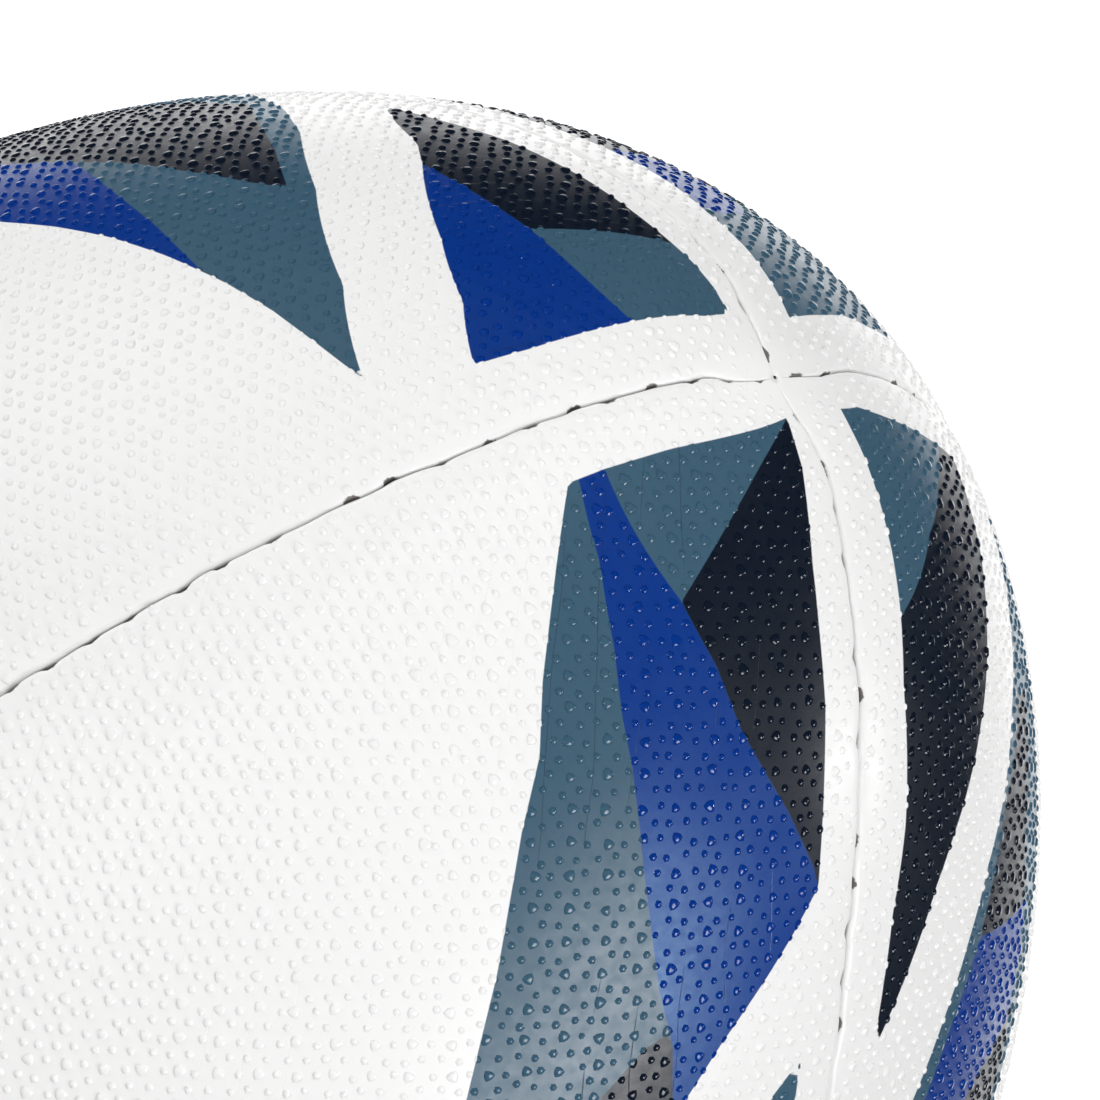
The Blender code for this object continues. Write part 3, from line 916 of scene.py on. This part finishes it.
def painted_gap_shade(shade, gore):
    """Painted shade in the opened stitch gaps, dark with ragged edges."""
    rough = shade.span(shade.noise(gore, 1.3, detail=3.0), *NOISE, -0.2, 0.2)
    ragged = shade.math("ADD", shade.attribute("gap_shade"), rough)
    return shade.span(ragged, 0.25, 0.55, 0.0, GAP_SHADE_DARKNESS)


def ground_material():
    """The panels' rubber between the pimples: printed, with painted shade in its creases and opened stitch
    gaps, faintly mottled and finely grained.
    """
    shade = Shade("cover_rubber")
    gore = shade.attribute("gore", "Vector")
    colour, blue_shows, printed = printed_colour(shade)
    crease = crease_lines(shade, gore)
    # Painted shade: the creases darkened where there is print
    crease_shade = shade.math("MULTIPLY", crease, shade.math("MULTIPLY", printed, CREASE_SHADE_DARKNESS))
    colour = shade.mix(crease_shade, colour, CREASE_SHADE_COLOUR)
    # Painted shade: the opened stitch gaps darkened
    colour = shade.mix(painted_gap_shade(shade, gore), colour, GAP_SHADE_COLOUR)
    cloud = shade.noise(gore, 0.09, detail=4.0, roughness=0.6)
    mottle = shade.noise(gore, 0.7, detail=5.0, roughness=0.75)
    grain = shade.noise(gore, 2.6, detail=3.0, roughness=0.6)
    cloudy = shade.span(cloud, *NOISE, 0.30, 0.38)
    gloss = shade.span(mottle, 0.35, 0.65, 0.56, 0.45)
    height = shade.math("SUBTRACT", shade.math("MULTIPLY", grain, 0.35), crease)
    shade.set(
        colour=colour,
        roughness=shade.math("ADD", cloudy, shade.span(mottle, *NOISE, -0.03, 0.04)),
        specular=shade.math("ADD", gloss, shade.math("MULTIPLY", blue_shows, BLUE_GLOSS)),
        tint=shade.mix(blue_shows, WHITE, BLUE_SHEEN),
        normal=shade.bump(height, 0.04, strength=0.5),
    )
    return shade.material


def pimple_material(ink):
    """A pimple's rubber, smoother than the ground round it."""
    shade = Shade(f"pimple_{ink}")
    gore = shade.attribute("gore", "Vector")
    shade.set(
        colour=printed_colour(shade)[0] if ink == "mixed" else (*INKS[ink], 1.0),
        roughness=shade.span(shade.noise(gore, 0.6), *NOISE, 0.13, 0.22),
        specular=0.50,
        normal=shade.bump(shade.noise(gore, 3.0), 0.05, strength=0.5),
    )
    return shade.material


def cloth_material(name, colour, dark, pitch):
    """Plain-woven cloth: two crossing sets of threads, each over the other in turn."""
    shade = Shade(name)
    place = shade.object_place()
    waves = []
    for axis in ("X", "Z"):
        wave = shade.node("ShaderNodeTexWave", bands_direction=axis)
        shade.feed(wave.inputs["Vector"], place)
        wave.inputs["Scale"].default_value = WAVE_SCALE / pitch
        wave.inputs["Distortion"].default_value = 0.4
        waves.append(wave.outputs["Fac"])
    weave = shade.math("MAXIMUM", *waves)
    slub = shade.noise(place, 0.12, detail=3.0)
    tone = shade.math("MULTIPLY", weave, shade.span(slub, *NOISE, 0.7, 1.0))
    shade.set(
        colour=shade.mix(tone, dark, colour),
        roughness=shade.span(weave, 0.0, 1.0, 0.95, 0.75),
        specular=0.25,
        sheen=0.15,
        normal=shade.bump(weave, 0.12),
    )
    return shade.material


def moulded_material(name, colour, worn, rough, talc=None):
    """Moulded rubber with a fine grain, cloudy gloss and, where given, a dusting of talc."""
    shade = Shade(name)
    place = shade.object_place()
    cloud = shade.noise(place, 0.08, detail=4.0, roughness=0.6)
    tone = shade.mix(shade.span(cloud, 0.35, 0.75), colour, worn)
    if talc:
        dust = shade.span(shade.noise(place, 0.35, detail=5.0, roughness=0.7), 0.50, 0.72)
        tone = shade.mix(shade.math("MULTIPLY", dust, 0.35), tone, talc)
    shade.set(
        colour=tone,
        roughness=shade.span(cloud, *NOISE, rough, rough + 0.15),
        normal=shade.bump(shade.noise(place, 1.8, detail=3.0), 0.08, strength=0.6),
    )
    return shade.material


def thread_material():
    """Waxed thread: fine fibres that run along it, with wax in between."""
    shade = Shade("waxed_thread")
    stretched = shade.place(shade.object_place(), (1.0, 5.0, 5.0))
    fibre = shade.noise(stretched, 1.6, detail=3.0, roughness=0.6)
    shade.set(
        colour=shade.mix(shade.span(fibre, 0.35, 0.7), (0.30, 0.28, 0.24), (0.62, 0.60, 0.55)),
        roughness=shade.span(fibre, *NOISE, 0.45, 0.7),
        coat=0.15,
        normal=shade.bump(fibre, 0.06),
    )
    return shade.material


def dress_node(node, material):
    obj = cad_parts[node]
    obj.data.materials.clear()
    obj.data.materials.append(material)


# Building

# Each ply's cloth as its colour, its colour between the threads, and the pitch of its threads
PLY_CLOTHS = (
    ((0.74, 0.70, 0.60), (0.42, 0.38, 0.30), 0.8),
    ((0.70, 0.67, 0.60), (0.36, 0.34, 0.30), 0.9),
    ((0.66, 0.62, 0.52), (0.34, 0.30, 0.24), 1.0),
)


def add_piece(obj, material, slot, *nodes):
    obj.data.materials.append(material)
    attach(obj, "root")
    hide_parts(*nodes)


def build_ball():
    ground = ground_material()
    pimples = {ink: pimple_material(ink) for ink in (*INKS, "mixed")}
    for seed, panel in enumerate(PANELS, start=FIRST_PANEL_SEED):
        skin = f"skin_{panel}"
        add_piece(build_cover(panel), ground, "skin_rubber", skin)
        for obj, ink in build_pimples(panel, seed):
            add_piece(obj, pimples[ink], "skin_rubber", skin)
    thread = thread_material()
    for seam in SEAMS:
        add_piece(build_thread(seam), thread, "seam_thread", f"thread_{seam}")


def dress_inside():
    for number, (colour, dark, pitch) in enumerate(PLY_CLOTHS, start=1):
        cloth = cloth_material(f"ply_cloth_{number}", colour, dark, pitch)
        for panel in PANELS:
            dress_node(f"ply_{number}_{panel}", cloth)
    black, grey, talc = (0.030, 0.030, 0.034), (0.055, 0.055, 0.06), (0.55, 0.54, 0.52)
    bladder = moulded_material("bladder_rubber_talc", black, grey, 0.42, talc)
    dress_node("bladder", bladder)
    boot = moulded_material("valve_rubber", (0.045, 0.046, 0.050), (0.08, 0.08, 0.085), 0.40)
    dress_node("valve_boot", boot)
    patch = cloth_material("patch_cloth", (0.34, 0.31, 0.27), (0.14, 0.13, 0.11), 0.7)
    dress_node("valve_patch", patch)
    plug = moulded_material("plug_rubber_red", (0.50, 0.10, 0.05), (0.36, 0.06, 0.03), 0.38)
    dress_node("valve_plug", plug)


# Stage

CAMERA_AT = (0.5627, -0.5648, 0.1813)
CAMERA_AZIMUTH = 38.92
CAMERA_ELEVATION = 13.82
CAMERA_ROLL = 55.56
CAMERA_LENS = 236.4
CAMERA_SENSOR = 36.0
CAMERA_CLIP = (0.05, 100.0)
LIT_POINT = Vector((0.03, 0.0, 0.0))
# Each light is name, azimuth, elevation, distance, size, power, whether it lights, whether it shines
SOFTBOXES = (
    ("front", 20.0, 40.0, 1.5, 1.0, 9.6, True, False),
    ("side", 95.0, 20.0, 1.5, 1.0, 5.0, True, False),
    ("over", 130.0, 65.0, 1.5, 1.0, 11.0, True, False),
    ("far", 150.0, -10.0, 1.5, 1.0, 8.0, True, False),
    ("low", 37.0, -40.0, 1.2, 0.60, 10.2, True, True),
    ("spark", 100.0, -55.0, 1.2, 0.07, 1.1, False, True),
    ("glint", 20.0, 45.0, 1.2, 0.07, 0.8, False, True),
)
WORLD_LEVEL = 0.11
BACKGROUND_LEVEL = 1.1
# A bright wall that is seen in reflections: its middle, the cosines where it starts and is full
WALL_AZIMUTH = 218.9
WALL_ELEVATION = -12.0
WALL_EDGE = (0.70, 0.86)
WALL_LEVEL = 1.9
FLOOR_SIZE = 60.0
FLOOR_TONE = (0.42, 0.42, 0.42)
FLOOR_TONE_SEEN = (0.60, 0.60, 0.60)
# The floor's own glow grows from near the ball to where it meets the white background, in metres
FLOOR_GLOW_REACH = (0.3, 1.5)
FLOOR_GLOW = (0.72, BACKGROUND_LEVEL)


def direction(azimuth, elevation):
    """A unit vector: azimuth 0 is -Y and 90 is +X."""
    a, e = math.radians(azimuth), math.radians(elevation)
    return Vector((math.sin(a) * math.cos(e), -math.cos(a) * math.cos(e), math.sin(e)))


def add_camera():
    back = direction(CAMERA_AZIMUTH, CAMERA_ELEVATION)
    level = (Vector((0, 0, 1)) - back * back.z).normalized()
    side = level.cross(back)
    roll = math.radians(CAMERA_ROLL)
    up = level * math.cos(roll) + side * math.sin(roll)
    right = up.cross(back)
    data = bpy.data.cameras.new("camera")
    data.lens = CAMERA_LENS
    data.sensor_width = CAMERA_SENSOR
    data.clip_start, data.clip_end = CAMERA_CLIP
    camera = bpy.data.objects.new("camera", data)
    facing = Matrix((right, up, back)).transposed().to_4x4()
    camera.matrix_world = Matrix.Translation(CAMERA_AT) @ facing
    bpy.context.scene.collection.objects.link(camera)
    bpy.context.scene.camera = camera


def add_softbox(name, azimuth, elevation, distance, size, power, lights, shines):
    """A square area light that the camera doesn't see. It lights surfaces, shines in them, or both."""
    data = bpy.data.lights.new(name, "AREA")
    data.shape = "SQUARE"
    data.size = size
    data.energy = power
    light = bpy.data.objects.new(name, data)
    light.location = LIT_POINT + distance * direction(azimuth, elevation)
    light.rotation_mode = "QUATERNION"
    light.rotation_quaternion = (-direction(azimuth, elevation)).to_track_quat("-Z", "Y")
    light.visible_camera = False
    light.visible_diffuse = lights
    light.visible_glossy = shines
    bpy.context.scene.collection.objects.link(light)


def add_world():
    """A plain white studio to look at. It lights dimly, and what shines in the ball is one bright wall."""
    world = bpy.data.worlds.new("studio")
    world.use_nodes = True
    nodes = Nodes(world.node_tree)
    rays = nodes.node("ShaderNodeLightPath").outputs
    toward = nodes.node("ShaderNodeVectorMath", operation="DOT_PRODUCT")
    nodes.feed(toward.inputs[0], nodes.node("ShaderNodeTexCoord").outputs["Generated"])
    nodes.feed(toward.inputs[1], direction(WALL_AZIMUTH, WALL_ELEVATION))
    wall = nodes.span(toward.outputs["Value"], *WALL_EDGE, 0.0, WALL_LEVEL)
    dim = nodes.math("MULTIPLY", rays["Is Diffuse Ray"], WORLD_LEVEL)
    seen = rays["Is Camera Ray"]
    unseen = nodes.math("MULTIPLY", nodes.math("SUBTRACT", 1.0, seen), nodes.math("ADD", dim, wall))
    level = nodes.math("ADD", unseen, nodes.math("MULTIPLY", seen, BACKGROUND_LEVEL))
    background = nodes.tree.nodes["Background"].inputs
    nodes.feed(background["Strength"], level)
    nodes.feed(background["Color"], (*WHITE, 1.0))
    bpy.context.scene.world = world


def add_floor(height):
    """A plain pale floor. It throws no shadow, so the softbox below it lights the ball as well."""
    corners = np.array([(-1, -1, 0), (1, -1, 0), (1, 1, 0), (-1, 1, 0)]) * FLOOR_SIZE / MM
    floor = write_mesh("floor", corners, [np.array([[0, 1, 2, 3]])], smooth_shade=False)
    floor.location.z = height
    shade = Shade("floor_paper")
    seen = shade.node("ShaderNodeLightPath").outputs["Is Camera Ray"]
    away = shade.node("ShaderNodeVectorMath", operation="LENGTH")
    shade.feed(away.inputs[0], shade.node("ShaderNodeTexCoord").outputs["Object"])
    glow = shade.span(away.outputs["Value"], *FLOOR_GLOW_REACH, *FLOOR_GLOW)
    shade.set(
        colour=shade.mix(seen, FLOOR_TONE, FLOOR_TONE_SEEN),
        roughness=0.9,
        specular=0.1,
        glow=shade.math("MULTIPLY", seen, glow),
        glow_colour=(*WHITE, 1.0),
    )
    floor.data.materials.append(shade.material)
    floor.visible_glossy = False
    floor.visible_shadow = False


add_camera()
build_ball()
dress_inside()
add_world()
bpy.context.view_layer.update()
lowest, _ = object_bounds()
add_floor(lowest.z)
for softbox in SOFTBOXES:
    add_softbox(*softbox)
bpy.context.scene.view_settings.view_transform = "Standard"
